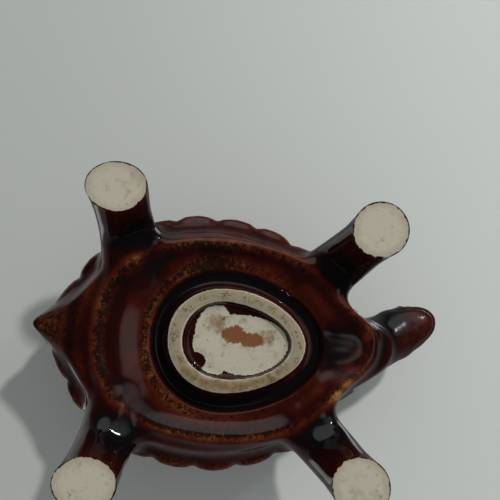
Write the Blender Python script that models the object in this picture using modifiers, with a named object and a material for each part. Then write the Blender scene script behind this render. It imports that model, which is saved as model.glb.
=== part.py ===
"""Glazed turtle figurine, one cast piece that stands on four bare feet.

Blender 4.5, metres, +Z up. The head points along -Y and the feet stand on the plane Z = 0.
The body is a loft of ovals and the limbs are tapered tubes. They flow together in one skin,
the way thick glaze fills every crease, and then the foot ring and the scutes are carved.
"""

import math
from typing import NamedTuple

import bmesh
import bpy
import numpy as np

MM = 0.001
FIGURINE = "turtle_figurine"

# Heights, one above the other
BELLY_CLEARANCE = 12.0 * MM  # from the ground up to the crest round the belly plate
MARGIN_RISE = 9.8 * MM  # from the crest up to the shell's margin
HEAD_RISE = 5.7 * MM  # from the margin up to the middle of the head
MARGIN_HEIGHT = BELLY_CLEARANCE + MARGIN_RISE
HEAD_HEIGHT = MARGIN_HEIGHT + HEAD_RISE

# Shell, an oval dome over a lipped margin
SHELL_HALF_WIDTH = 31.5 * MM
SHELL_FRONT = 37.0 * MM
SHELL_REAR = 37.2 * MM
SHELL_SHIFT = 8.2 * MM  # how far the widest place lies behind the foot ring
SHELL_FULLNESS = 2.03  # exponent of the outline, 2 being an ellipse
MARGIN_LIP = 1.7 * MM
BRIM_HEIGHT = 4.6 * MM  # from the margin up to the dome's foot
DOME_SHARE = 0.89  # the dome's foot as a share of the margin's outline
DOME_HEIGHT = 19.8 * MM
DOME_FULLNESS = 2.5  # exponent of the dome's profile, 2 being a parabola
DOME_STEEPNESS = 0.8  # exponent that makes its foot steeper the lower it is

# Belly plate, a raised oval with a crest round it that runs out into the throat
BELLY_HALF_WIDTH = 24.2 * MM
BELLY_FRONT = 32.2 * MM
BELLY_REAR = 30.2 * MM
BELLY_SHIFT = 5.0 * MM
BELLY_ASIDE = -0.7 * MM
BELLY_FULLNESS = 2.35
CREST_WIDTH = 1.8 * MM
DISH_DEPTH = 2.2 * MM  # how deep the plate is dished between the crest and the ditch
SHOULDER_DEPTH = 2.0 * MM
SIDE_WALL_INSET = 5.0 * MM  # how far the side wall stands in from the margin
SIDE_WALL_FLARE = 0.6 * MM
BREAST_STEP = 1.0 * MM  # how far it stands out from the crest in front

# Bare egg-shaped foot ring in the middle of the belly, and the ditch round it
RING_HALF_WIDTH = 12.1 * MM
RING_FRONT = 17.3 * MM
RING_REAR = 14.9 * MM
RING_SHIFT = 1.5 * MM
RING_ASIDE = -0.4 * MM
RING_TAPER = 0.12  # how much narrower than an ellipse it is in front
RING_BAND = 3.1 * MM
RING_STAND = 2.5 * MM  # how far the ring's face stands below the crest
RECESS_DEPTH = 2.2 * MM
RECESS_DRAFT = 0.9 * MM
DITCH_WIDTH = 5.0 * MM
DITCH_DEPTH = 3.4 * MM
DITCH_PROFILE = ((1.0, 0.0), (0.92, 0.35), (0.78, 0.85), (0.66, 1.0))  # shares of both
RING_DRAFT = 1.3 * MM  # how much wider the ring's foot is, down in the ditch
RING_DRAFT_AHEAD = 0.5 * MM
RING_DRAFT_BEHIND = 2.6 * MM

# Legs, stout tubes that end in flat feet
FRONT_FOOT_AHEAD = 29.7 * MM
FRONT_FOOT_OUT = 28.3 * MM
REAR_FOOT_BEHIND = 30.55 * MM
REAR_FOOT_OUT = 32.9 * MM
FOOT_SKEW = 0.012  # how much nearer the left feet stand to each other, as a share
FRONT_LEG_SPLAY = math.radians(43.5)  # from straight ahead to the way the leg runs, in plan
REAR_LEG_SPLAY = math.radians(80.0)  # from straight behind
KNEE_REACH = 3.8 * MM  # how far inward from the foot
ELBOW_REACH = 8.8 * MM
HIP_REACH = 18.5 * MM
KNEE_SHARE = 0.62  # of the belly's clearance
ELBOW_RISE = 3.4 * MM  # above the crest
HIP_RISE = 7.5 * MM
FOOT_RADIUS = 6.5 * MM
ANKLE_RADIUS = 6.35 * MM
KNEE_RADIUS = 6.0 * MM
ELBOW_RADIUS = 6.4 * MM
HIP_RADIUS = 7.0 * MM
REAR_LEG_BULK = 1.12  # its radii over those of a front leg
REAR_LEG_OVALNESS = 0.77  # its size across over its size along

# Hollow on the inner side of each leg's root, where the glaze pools
FRONT_HOLLOW_OUT = 18.1 * MM
FRONT_HOLLOW_AHEAD = 22.4 * MM
REAR_HOLLOW_OUT = 23.9 * MM
REAR_HOLLOW_BEHIND = 26.0 * MM
HOLLOW_SHARE = 0.67  # its height as a share of the belly's clearance
HOLLOW_DEPTH = 1.2 * MM
HOLLOW_RADIUS = 3.4 * MM

# Throat, chest and tail, noses on the body's outline
THROAT_REACH = 6.9 * MM
THROAT_HALF_WIDTH = 8.2 * MM
THROAT_LIFT = 2.6 * MM
THROAT_ASIDE = -1.6 * MM
CHEST_REACH = 11.0 * MM
TAIL_REACH = 6.2 * MM
TAIL_HALF_WIDTH = 5.6 * MM
TAIL_ASIDE = -0.5 * MM

# Neck and head
HEAD_AHEAD = 40.6 * MM  # the skull's widest place
HEAD_ASIDE = 6.1 * MM
HEAD_TURN = math.radians(29.0)  # the head looks to its own right
SNOUT_LENGTH = 11.4 * MM
NAPE_LENGTH = 9.0 * MM
HEAD_HALF_WIDTH = 6.9 * MM
HEAD_HALF_DEPTH = 6.6 * MM
SNOUT_TAPER = 0.5  # how much slimmer than half an egg the snout is, seen from above
SNOUT_BLUNTNESS = 2.5  # exponent of the snout's profile, 2 being an ellipse
JAW_FLATNESS = 0.82  # the head's depth below its middle over that above it
NECK_RADIUS = 7.0 * MM
EYE_RADIUS = 1.9 * MM
MOUTH_DEPTH = 0.6 * MM

# Relief of the scutes
MARGINAL_SCUTES = 22
MARGINAL_BOSS = 0.6 * MM
SCUTE_BOSS = 1.3 * MM
GROOVE_DEPTH = 0.8 * MM
GROOVE_WIDTH = 2.2 * MM
JOINT_DEPTH = 0.4 * MM
SCUTE_PITCH = 0.39  # between the middles of the scutes down the back, as a share

# Glaze fillets, and how finely the skin is meshed
FILLET = 2.6 * MM
CUTTING_ALLOWANCE = 0.4 * MM
COARSE_VOXEL = 0.8 * MM
FINE_VOXEL = 0.55 * MM
MOST_TRIANGLES = 10500
OVAL_STEPS = 96


class Nose(NamedTuple):
    """A soft bump on an oval's front or rear end."""

    reach: float = 0.0
    half_width: float = 1.0
    lift: float = 0.0
    aside: float = 0.0
    power: float = 3.0


class Oval(NamedTuple):
    """A level superellipse with a front and a rear half of its own."""

    half_width: float
    front: float
    rear: float
    shift: float
    fullness: float = 2.0
    taper: float = 0.0
    aside: float = 0.0

    def grown(self, distance):
        return self._replace(
            half_width=self.half_width + distance,
            front=self.front + distance,
            rear=self.rear + distance,
        )

    def scaled(self, share):
        return self._replace(
            half_width=self.half_width * share,
            front=self.front * share,
            rear=self.rear * share,
        )

    def points(self, height, throat=Nose(), tail=Nose()):
        outline = []
        for step in range(OVAL_STEPS):
            angle = math.tau * step / OVAL_STEPS
            across, along = math.cos(angle), math.sin(angle)
            length, nose = (self.front, throat) if along < 0 else (self.rear, tail)
            x = math.copysign(abs(across) ** (2 / self.fullness), across) * self.half_width
            x *= 1 + self.taper * along
            y = math.copysign(abs(along) ** (2 / self.fullness), along) * length
            weight = math.exp(-(abs(x / nose.half_width) ** nose.power))
            y += math.copysign(nose.reach * weight, along)
            x += self.aside + nose.aside * weight
            outline.append((x, y + self.shift, height + nose.lift * weight))
        return outline


SHELL = Oval(SHELL_HALF_WIDTH, SHELL_FRONT, SHELL_REAR, SHELL_SHIFT, SHELL_FULLNESS)
BELLY = Oval(BELLY_HALF_WIDTH, BELLY_FRONT, BELLY_REAR, BELLY_SHIFT, BELLY_FULLNESS, 0.0, BELLY_ASIDE)
RING = Oval(RING_HALF_WIDTH, RING_FRONT, RING_REAR, RING_SHIFT, 2.0, RING_TAPER, RING_ASIDE)


def new_object(name, mesh):
    made = bpy.data.objects.new(name, mesh)
    bpy.context.scene.collection.objects.link(made)
    return made


def mesh_from(build, name):
    bmesh.ops.recalc_face_normals(build, faces=build.faces)
    mesh = bpy.data.meshes.new(name)
    build.to_mesh(mesh)
    build.free()
    return mesh


def loft(name, sections):
    """A closed solid through outlines, listed from the lowest cap to the highest."""
    build = bmesh.new()
    rings = [[build.verts.new(point) for point in section] for section in sections]
    for lower, upper in zip(rings, rings[1:]):
        for step in range(OVAL_STEPS):
            after = (step + 1) % OVAL_STEPS
            build.faces.new((lower[step], lower[after], upper[after], upper[step]))
    build.faces.new(rings[0][::-1])
    build.faces.new(rings[-1])
    return new_object(name, mesh_from(build, name))


def as_mesh(source):
    """Turns an object with its modifiers into a plain mesh object in world space."""
    graph = bpy.context.evaluated_depsgraph_get()
    mesh = bpy.data.meshes.new_from_object(source.evaluated_get(graph))
    mesh.transform(source.matrix_world)
    made = new_object(source.name + "_mesh", mesh)
    bpy.data.objects.remove(source)
    return made


def weld_caps(target):
    build = bmesh.new()
    build.from_mesh(target.data)
    bmesh.ops.remove_doubles(build, verts=build.verts, dist=0.01 * MM)
    build.to_mesh(target.data)
    build.free()


def tube(name, stops, flatten=(1, 1, 1)):
    """A tapered tube along a smooth curve. A stop is a point and the radius there."""
    curve = bpy.data.curves.new(name, "CURVE")
    curve.dimensions = "3D"
    curve.bevel_depth = MM
    curve.bevel_resolution = 8
    curve.resolution_u = 10
    curve.use_fill_caps = True
    spline = curve.splines.new("BEZIER")
    spline.bezier_points.add(len(stops) - 1)
    middle = stops[0][0]
    for knot, (point, radius) in zip(spline.bezier_points, stops):
        knot.co = [(p - m) / f for p, m, f in zip(point, middle, flatten)]
        knot.handle_left_type = knot.handle_right_type = "AUTO"
        knot.radius = radius / MM
    made = new_object(name, curve)
    made.location = middle
    made.scale = flatten
    bpy.context.view_layer.update()
    solid = as_mesh(made)
    weld_caps(solid)
    return solid


def ball(name, centre, radius):
    bpy.ops.mesh.primitive_uv_sphere_add(segments=48, ring_count=32, radius=radius, location=centre)
    made = bpy.context.active_object
    made.name = name
    bpy.context.view_layer.update()
    return as_mesh(made)


def body():
    """The belly plate, the side wall, the margin and the dome, as one loft."""
    wall = SHELL.grown(-SIDE_WALL_INSET)
    wall = wall._replace(front=BELLY_FRONT - BELLY_SHIFT + BREAST_STEP + SHELL_SHIFT)
    throat = Nose(THROAT_REACH, THROAT_HALF_WIDTH, THROAT_LIFT, THROAT_ASIDE)
    throat_bed = throat._replace(half_width=0.7 * THROAT_HALF_WIDTH)
    throat_slope = throat._replace(half_width=0.85 * THROAT_HALF_WIDTH)
    low_chest = Nose(0.60 * CHEST_REACH, THROAT_HALF_WIDTH, 0.7 * THROAT_LIFT, THROAT_ASIDE)
    chest = Nose(0.90 * CHEST_REACH, 1.06 * THROAT_HALF_WIDTH, 0.3 * THROAT_LIFT, THROAT_ASIDE)
    high_chest = Nose(CHEST_REACH, 1.06 * THROAT_HALF_WIDTH, 0.0, THROAT_ASIDE)
    tail = Nose(TAIL_REACH, TAIL_HALF_WIDTH, 0.0, TAIL_ASIDE, 1.5)
    bank = RING.grown(DITCH_WIDTH)
    bed = bank.grown(0.9 * CREST_WIDTH)
    slope = bank.grown(4.0 * CREST_WIDTH)
    slope = slope._replace(fullness=2.2, front=min(slope.front, BELLY_FRONT - BELLY_SHIFT - 3 * CREST_WIDTH))
    tail_root = tail._replace(reach=0.2 * TAIL_REACH)
    tail_low = tail._replace(reach=0.9 * TAIL_REACH)
    tail_tip = tail._replace(reach=1.7 * TAIL_REACH)
    tail_top = tail._replace(reach=1.2 * TAIL_REACH)
    sections = [
        bank.points(BELLY_CLEARANCE + SHOULDER_DEPTH),
        bed.points(BELLY_CLEARANCE + 0.97 * DISH_DEPTH, throat_bed._replace(reach=0.35 * THROAT_REACH)),
        slope.points(BELLY_CLEARANCE + 0.30 * DISH_DEPTH, throat_bed),
        BELLY.grown(-1.7 * CREST_WIDTH).points(BELLY_CLEARANCE + 0.22 * DISH_DEPTH, throat_slope),
        BELLY.grown(-CREST_WIDTH).points(BELLY_CLEARANCE, throat),
        BELLY.points(BELLY_CLEARANCE, throat),
        BELLY.grown(CREST_WIDTH / 4).points(BELLY_CLEARANCE + 0.15 * MARGIN_RISE, low_chest, tail_root),
        wall.points(BELLY_CLEARANCE + 0.38 * MARGIN_RISE, low_chest, tail_low),
        wall.grown(SIDE_WALL_FLARE).points(BELLY_CLEARANCE + 0.62 * MARGIN_RISE, chest, tail_tip),
        SHELL.grown(-MARGIN_LIP).points(MARGIN_HEIGHT - MARGIN_LIP, high_chest, tail_top),
        SHELL.points(MARGIN_HEIGHT, high_chest, tail),
    ]
    for share in (0.3, 0.6, 0.85):
        sections.append(
            SHELL.scaled(1 - (1 - DOME_SHARE) * share**2).points(
                MARGIN_HEIGHT + BRIM_HEIGHT * share,
                high_chest._replace(reach=(1 - share) * high_chest.reach),
                tail._replace(reach=(1 - share) * TAIL_REACH),
            )
        )
    for angle in np.linspace(0.06, 0.985, 16) * math.pi / 2:
        share = math.cos(angle)
        rise = DOME_HEIGHT * (1 - share**DOME_FULLNESS) ** DOME_STEEPNESS
        sections.append(SHELL.scaled(DOME_SHARE * share).points(MARGIN_HEIGHT + BRIM_HEIGHT + rise))
    return loft("body", sections)


def ring_blank():
    """Clay enough under the belly for the foot ring to be cut from."""
    blank = RING.grown(CUTTING_ALLOWANCE)
    face = BELLY_CLEARANCE - RING_STAND
    top = BELLY_CLEARANCE + SHOULDER_DEPTH + RING_BAND
    return loft("ring_blank", [blank.points(face - CUTTING_ALLOWANCE), blank.points(top)])


def leg(name, side, out, behind, splay, bulk, ovalness):
    """One leg, from a hip inside the shell over the elbow down and out through the ground."""

    behind *= 1 - side * FOOT_SKEW

    def inward(reach, height):
        x = side * (out - reach * math.sin(splay))
        return (x, behind - math.copysign(reach * math.cos(splay), behind), height)

    stops = [
        (inward(HIP_REACH, BELLY_CLEARANCE + HIP_RISE), bulk * HIP_RADIUS),
        (inward(ELBOW_REACH, BELLY_CLEARANCE + ELBOW_RISE), bulk * ELBOW_RADIUS),
        (inward(KNEE_REACH, KNEE_SHARE * BELLY_CLEARANCE), bulk * KNEE_RADIUS),
        (inward(0.2 * KNEE_REACH, 0.3 * KNEE_SHARE * BELLY_CLEARANCE), bulk * ANKLE_RADIUS),
        (inward(0.0, 0.0), bulk * FOOT_RADIUS),
        (inward(0.0, -FOOT_RADIUS / 2), bulk * FOOT_RADIUS),
    ]
    return tube(name, stops, (ovalness, 1, 1))


def legs():
    made = []
    for side, word in ((-1, "right"), (1, "left")):
        front = (FRONT_FOOT_OUT, -FRONT_FOOT_AHEAD, FRONT_LEG_SPLAY, 1.0, 1.0)
        rear = (REAR_FOOT_OUT, REAR_FOOT_BEHIND, REAR_LEG_SPLAY, REAR_LEG_BULK, REAR_LEG_OVALNESS)
        made.append(leg(f"front_{word}_leg", side, *front))
        made.append(leg(f"rear_{word}_leg", side, *rear))
    return made


def head_place(forward, sideways, up):
    """A point from head coordinates, forward being along the snout, to the world."""
    c, s = math.cos(HEAD_TURN), math.sin(HEAD_TURN)
    x = -HEAD_ASIDE - forward * s + sideways * c
    y = -HEAD_AHEAD - forward * c - sideways * s
    return (x, y, HEAD_HEIGHT + up)


def neck():
    """From inside the shell up to the skull."""
    return tube(
        "neck",
        [
            ((0, -0.35 * HEAD_AHEAD, MARGIN_HEIGHT), 1.1 * NECK_RADIUS),
            ((-0.15 * HEAD_ASIDE, -0.67 * HEAD_AHEAD, MARGIN_HEIGHT), 1.05 * NECK_RADIUS),
            (head_place(-0.6 * NAPE_LENGTH, 0, -0.15 * HEAD_HALF_DEPTH), NECK_RADIUS),
            (head_place(0.1 * SNOUT_LENGTH, 0, -0.1 * HEAD_HALF_DEPTH), 0.8 * NECK_RADIUS),
        ],
    )


def skull():
    """An egg whose long end is the snout, blunt in profile and flat under the jaw."""
    made = ball("skull", (0, 0, 0), 1.0)
    for vertex in made.data.vertices:
        side, fore, up = vertex.co
        length = SNOUT_LENGTH if fore > 0 else NAPE_LENGTH
        ahead = min(max(fore, 0.0), 0.995)
        slim = 1.0 - SNOUT_TAPER * ahead * (1 - ahead)
        blunt = (1 - ahead**SNOUT_BLUNTNESS) ** (1 / SNOUT_BLUNTNESS) / math.sqrt(1 - ahead**2)
        depth = HEAD_HALF_DEPTH * (JAW_FLATNESS if up < 0 else 1.0)
        vertex.co = head_place(fore * length, side * slim * HEAD_HALF_WIDTH, up * blunt * depth)
    build = bmesh.new()
    build.from_mesh(made.data)
    bmesh.ops.recalc_face_normals(build, faces=build.faces)
    build.to_mesh(made.data)
    build.free()
    return made


def eyes():
    made = []
    for side, word in ((-1, "right"), (1, "left")):
        middle = head_place(0.40 * SNOUT_LENGTH, side * 0.62 * HEAD_HALF_WIDTH, 0.48 * HEAD_HALF_DEPTH)
        made.append(ball(f"{word}_eye", middle, EYE_RADIUS))
    return made


def join(parts, name):
    """Puts several closed solids into one mesh."""
    build = bmesh.new()
    for part in parts:
        build.from_mesh(part.data)
        bpy.data.objects.remove(part)
    mesh = bpy.data.meshes.new(name)
    build.to_mesh(mesh)
    build.free()
    return new_object(name, mesh)


def remeshed(target, voxel):
    grid = target.modifiers.new("voxels", "REMESH")
    grid.mode = "VOXEL"
    grid.voxel_size = voxel
    return as_mesh(target)


def offset(target, distance):
    push = target.modifiers.new("offset", "DISPLACE")
    push.mid_level = 0.0
    push.strength = distance
    return as_mesh(target)


def smoothed(target, rounds, share=0.5):
    relax = target.modifiers.new("relax", "SMOOTH")
    relax.factor = share
    relax.iterations = rounds
    return as_mesh(target)


def flow_together(solid):
    """Closes the creases: the skin swells by the fillet radius and shrinks back again."""
    solid = smoothed(remeshed(solid, COARSE_VOXEL), 2)
    solid = smoothed(remeshed(offset(solid, FILLET), COARSE_VOXEL), 3)
    return smoothed(remeshed(offset(solid, -FILLET), FINE_VOXEL), 4)


def belly_cutter():
    """The ditch round the foot ring, the ring's level face and the recess inside it."""
    shoulder = BELLY_CLEARANCE + SHOULDER_DEPTH
    face = BELLY_CLEARANCE - RING_STAND
    inside = RING.grown(-RING_BAND)
    sections = [RING.grown(DITCH_WIDTH).points(face - 2 * RING_STAND)]
    for across, down in DITCH_PROFILE:
        height = shoulder + down * (DITCH_DEPTH - SHOULDER_DEPTH)
        sections.append(RING.grown(across * DITCH_WIDTH).points(height))
    wall = RING._replace(
        half_width=RING_HALF_WIDTH + RING_DRAFT,
        front=RING_FRONT + RING_DRAFT_AHEAD,
        rear=RING_REAR + RING_DRAFT_BEHIND,
    )
    sections += [
        wall.points(shoulder + 0.9 * (DITCH_DEPTH - SHOULDER_DEPTH)),
        RING.points(face),
        inside.points(face),
        inside.grown(-RECESS_DRAFT / 3).points(face + 0.8 * RECESS_DEPTH),
        inside.grown(-RECESS_DRAFT).points(face + RECESS_DEPTH),
    ]
    return loft("belly_cutter", sections)


def cut(target, cutter):
    knife = target.modifiers.new("cut", "BOOLEAN")
    knife.operation = "DIFFERENCE"
    knife.object = cutter
    result = as_mesh(target)
    bpy.data.objects.remove(cutter)
    return result


def scute_seeds():
    """Middles of the large scutes on the unrolled shell: five down the back, four each side."""
    back = [(0.0, (k - 2) * SCUTE_PITCH) for k in range(5)]
    sides = [(side * 1.5 * SCUTE_PITCH, (k - 1.5) * SCUTE_PITCH) for side in (-1, 1) for k in range(4)]
    return np.array(back + sides)


def shell_relief(points):
    """How far each point of the dome moves out along its normal, for scutes and grooves."""
    across = points[:, 0] / SHELL_HALF_WIDTH
    behind = points[:, 1] - SHELL_SHIFT
    along = behind / np.where(behind < 0, SHELL_FRONT, SHELL_REAR)
    spread = (np.abs(across) ** SHELL_FULLNESS + np.abs(along) ** SHELL_FULLNESS) ** (1 / SHELL_FULLNESS)
    on_dome = spread < DOME_SHARE
    unrolled = 2 / math.pi * np.arcsin(np.clip(spread / DOME_SHARE, 0, 1))
    stretch = unrolled / np.maximum(spread, 1e-6)
    place = np.stack([across * stretch, along * stretch], axis=1)

    distances = np.linalg.norm(place[:, None, :] - scute_seeds()[None], axis=2)
    distances.sort(axis=1)
    meridian = (DOME_SHARE * (SHELL_HALF_WIDTH + SHELL_FRONT) / 2 + DOME_HEIGHT) * math.pi / 4
    to_groove = (distances[:, 1] - distances[:, 0]) / 2 * meridian
    to_foot = np.abs(spread - DOME_SHARE) * SHELL_HALF_WIDTH * 1.4
    to_foot = np.where(on_dome, (1 - unrolled) * meridian, to_foot)
    turn = (np.arctan2(along, across) / math.tau * MARGINAL_SCUTES) % 1.0
    to_joint = np.minimum(turn, 1 - turn) * math.tau / MARGINAL_SCUTES * SHELL_HALF_WIDTH

    half_groove = GROOVE_WIDTH / 2
    to_edge = np.where(on_dome, np.minimum(to_groove, to_foot), to_foot)
    groove = -GROOVE_DEPTH * np.exp(-((to_edge / half_groove) ** 2))
    clear = 1 - np.exp(-((to_foot / GROOVE_WIDTH) ** 2))
    plate = SCUTE_BOSS * np.clip(1 - (distances[:, 0] / (1.05 * SCUTE_PITCH)) ** 2, 0, 1)
    joint = -JOINT_DEPTH * np.exp(-((to_joint / half_groove) ** 2))
    bead = MARGINAL_BOSS * np.sin(math.pi * turn) + joint
    lift = np.where(on_dome, plate, bead) * clear + groove
    above = np.clip((points[:, 2] - (MARGIN_HEIGHT - MARGIN_LIP)) / MARGIN_LIP, 0, 1)
    return lift * above * (spread < 1.06)


def mouth_relief(points):
    """A shallow line round the beak where the jaws meet."""
    c, s = math.cos(HEAD_TURN), math.sin(HEAD_TURN)
    x = points[:, 0] + HEAD_ASIDE
    y = -points[:, 1] - HEAD_AHEAD
    forward = y * c - x * s
    up = points[:, 2] - HEAD_HEIGHT
    line = -0.22 * HEAD_HALF_DEPTH - 0.16 * HEAD_HALF_DEPTH * (forward / SNOUT_LENGTH) ** 2
    near = np.exp(-(((up - line) / (0.09 * HEAD_HALF_DEPTH)) ** 2))
    in_front = np.clip((forward - 0.15 * SNOUT_LENGTH) / (0.15 * SNOUT_LENGTH), 0, 1)
    return -MOUTH_DEPTH * near * in_front


def hollow_relief(points):
    """The four hollows beside the legs' roots."""
    lift = np.zeros(len(points))
    rows = ((FRONT_HOLLOW_OUT, -FRONT_HOLLOW_AHEAD), (REAR_HOLLOW_OUT, REAR_HOLLOW_BEHIND))
    for out, behind in rows:
        for side in (-1, 1):
            middle = np.array((side * out, behind, HOLLOW_SHARE * BELLY_CLEARANCE))
            away = np.linalg.norm(points - middle, axis=1)
            lift -= HOLLOW_DEPTH * np.exp(-((away / HOLLOW_RADIUS) ** 2))
    return lift


def engrave(target):
    """Moves the skin along its normals for the scutes, the mouth and the hollows."""
    mesh = target.data
    points = np.empty(len(mesh.vertices) * 3)
    mesh.vertices.foreach_get("co", points)
    normals = np.empty_like(points)
    mesh.vertex_normals.foreach_get("vector", normals)
    points = points.reshape(-1, 3)
    lift = shell_relief(points) + mouth_relief(points) + hollow_relief(points)
    points += normals.reshape(-1, 3) * lift[:, None]
    mesh.vertices.foreach_set("co", points.ravel())
    mesh.update()
    return target


def thinned(target, most):
    triangles = sum(len(face.vertices) - 2 for face in target.data.polygons)
    fewer = target.modifiers.new("thin_out", "DECIMATE")
    fewer.ratio = min(1.0, most / triangles)
    return as_mesh(target)


def stand_on_ground(target):
    """Grinds the feet flat at Z = 0."""
    build = bmesh.new()
    build.from_mesh(target.data)
    everything = build.verts[:] + build.edges[:] + build.faces[:]
    bmesh.ops.bisect_plane(build, geom=everything, plane_co=(0, 0, 0), plane_no=(0, 0, -1), clear_outer=True)
    bmesh.ops.holes_fill(build, edges=[edge for edge in build.edges if edge.is_boundary])
    bmesh.ops.recalc_face_normals(build, faces=build.faces)
    build.to_mesh(target.data)
    build.free()
    return target


def centre_on_box(target):
    """Puts the origin in the middle of the figurine's outline, on the ground."""
    corners = np.array([vertex.co for vertex in target.data.vertices])
    middle = (corners.min(axis=0) + corners.max(axis=0)) / 2
    for vertex in target.data.vertices:
        vertex.co.x -= middle[0]
        vertex.co.y -= middle[1]
    return target


def glaze():
    material = bpy.data.materials.new("brown_glaze")
    material.use_nodes = True
    shader = material.node_tree.nodes["Principled BSDF"]
    shader.inputs["Base Color"].default_value = (0.075, 0.018, 0.010, 1)
    shader.inputs["Roughness"].default_value = 0.12
    shader.inputs["Metallic"].default_value = 0.0
    shader.inputs["Coat Weight"].default_value = 1.0
    return material


def main():
    for old in list(bpy.data.objects):
        bpy.data.objects.remove(old)
    solid = join([body(), ring_blank(), *legs(), neck(), skull()], "solid")
    solid = flow_together(solid)
    solid = cut(solid, belly_cutter())
    solid = join([solid, *eyes()], "solid")
    solid = smoothed(remeshed(solid, FINE_VOXEL), 3)
    solid = smoothed(engrave(solid), 3)
    solid = thinned(solid, MOST_TRIANGLES)
    solid = centre_on_box(stand_on_ground(solid))
    solid.name = FIGURINE
    solid.data.name = FIGURINE
    solid.data.materials.clear()
    solid.data.materials.append(glaze())
    solid.data.shade_smooth()
    solid.data.set_sharp_from_angle(angle=math.radians(50))
    home = bpy.data.collections.new("glazed_turtle_figurine")
    bpy.context.scene.collection.children.link(home)
    bpy.context.scene.collection.objects.unlink(solid)
    home.objects.link(solid)


main()
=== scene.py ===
"""Looks of the glazed turtle figurine: the fine skin of the one casting, its glaze and bare clay,
a pale table, the light and the camera that looks up at the belly.

Metres, +Z up, the head along -Y, the feet on Z = 0. The skin is made the way the solid is, from
the same sizes on a finer grid, and then gets growth rings, eyelids and the glaze's own waviness.
"""

import math
from typing import NamedTuple

import bmesh
import bpy
import numpy as np
from mathutils import Matrix, Vector

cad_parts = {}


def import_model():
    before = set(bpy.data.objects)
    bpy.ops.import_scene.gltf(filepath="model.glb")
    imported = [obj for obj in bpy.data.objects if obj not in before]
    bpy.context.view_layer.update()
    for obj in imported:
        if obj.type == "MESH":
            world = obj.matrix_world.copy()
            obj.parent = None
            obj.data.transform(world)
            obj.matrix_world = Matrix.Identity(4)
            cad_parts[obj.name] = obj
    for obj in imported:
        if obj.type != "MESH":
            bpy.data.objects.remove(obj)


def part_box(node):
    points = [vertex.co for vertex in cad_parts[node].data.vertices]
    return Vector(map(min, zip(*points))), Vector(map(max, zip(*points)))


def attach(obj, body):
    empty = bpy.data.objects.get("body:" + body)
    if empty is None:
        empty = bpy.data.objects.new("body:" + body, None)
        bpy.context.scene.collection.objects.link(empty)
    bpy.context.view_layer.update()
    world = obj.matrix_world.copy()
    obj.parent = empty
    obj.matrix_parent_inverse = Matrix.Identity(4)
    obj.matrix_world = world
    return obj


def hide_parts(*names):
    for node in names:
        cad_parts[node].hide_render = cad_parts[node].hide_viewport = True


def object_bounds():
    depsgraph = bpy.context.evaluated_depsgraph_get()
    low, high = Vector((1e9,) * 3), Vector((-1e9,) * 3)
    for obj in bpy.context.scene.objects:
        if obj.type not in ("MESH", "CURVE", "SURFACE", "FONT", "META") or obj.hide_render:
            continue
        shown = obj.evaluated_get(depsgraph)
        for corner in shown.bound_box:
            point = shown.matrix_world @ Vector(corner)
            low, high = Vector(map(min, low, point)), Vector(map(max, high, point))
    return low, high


MM = 0.001
FIGURINE = "turtle_figurine"

# Heights, one above the other
BELLY_CLEARANCE = 12.0 * MM
MARGIN_RISE = 9.8 * MM
HEAD_RISE = 5.7 * MM
MARGIN_HEIGHT = BELLY_CLEARANCE + MARGIN_RISE
HEAD_HEIGHT = MARGIN_HEIGHT + HEAD_RISE

# Shell
SHELL_HALF_WIDTH = 31.5 * MM
SHELL_FRONT = 37.0 * MM
SHELL_REAR = 37.2 * MM
SHELL_SHIFT = 8.2 * MM
SHELL_FULLNESS = 2.03
MARGIN_LIP = 1.7 * MM
BRIM_HEIGHT = 4.6 * MM
DOME_SHARE = 0.89
DOME_HEIGHT = 19.8 * MM
DOME_FULLNESS = 2.5
DOME_STEEPNESS = 0.8

# Belly plate
BELLY_HALF_WIDTH = 24.2 * MM
BELLY_FRONT = 32.2 * MM
BELLY_REAR = 30.2 * MM
BELLY_SHIFT = 5.0 * MM
BELLY_ASIDE = -0.7 * MM
BELLY_FULLNESS = 2.35
CREST_WIDTH = 1.8 * MM
DISH_DEPTH = 2.2 * MM
SHOULDER_DEPTH = 2.0 * MM
SIDE_WALL_INSET = 5.0 * MM
SIDE_WALL_FLARE = 0.6 * MM
BREAST_STEP = 1.0 * MM

# Foot ring
RING_HALF_WIDTH = 12.1 * MM
RING_FRONT = 17.3 * MM
RING_REAR = 14.9 * MM
RING_SHIFT = 1.5 * MM
RING_ASIDE = -0.4 * MM
RING_TAPER = 0.12
RING_BAND = 3.1 * MM
RING_STAND = 2.5 * MM
RING_DRAFT = 1.3 * MM
RING_DRAFT_AHEAD = 0.5 * MM
RING_DRAFT_BEHIND = 2.6 * MM
RECESS_DEPTH = 2.2 * MM
RECESS_DRAFT = 0.9 * MM
DITCH_WIDTH = 5.0 * MM
DITCH_DEPTH = 3.4 * MM

# Legs
FRONT_FOOT_AHEAD = 29.7 * MM
FRONT_FOOT_OUT = 28.3 * MM
REAR_FOOT_BEHIND = 30.55 * MM
REAR_FOOT_OUT = 32.9 * MM
FOOT_SKEW = 0.012
FRONT_LEG_SPLAY = math.radians(43.5)
REAR_LEG_SPLAY = math.radians(80.0)
KNEE_REACH = 3.8 * MM
ELBOW_REACH = 8.8 * MM
HIP_REACH = 18.5 * MM
KNEE_SHARE = 0.62
ELBOW_RISE = 3.4 * MM
HIP_RISE = 7.5 * MM
FOOT_RADIUS = 6.5 * MM
ANKLE_RADIUS = 6.35 * MM
KNEE_RADIUS = 6.0 * MM
ELBOW_RADIUS = 6.4 * MM
HIP_RADIUS = 7.0 * MM
REAR_LEG_BULK = 1.12
REAR_LEG_OVALNESS = 0.77

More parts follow.
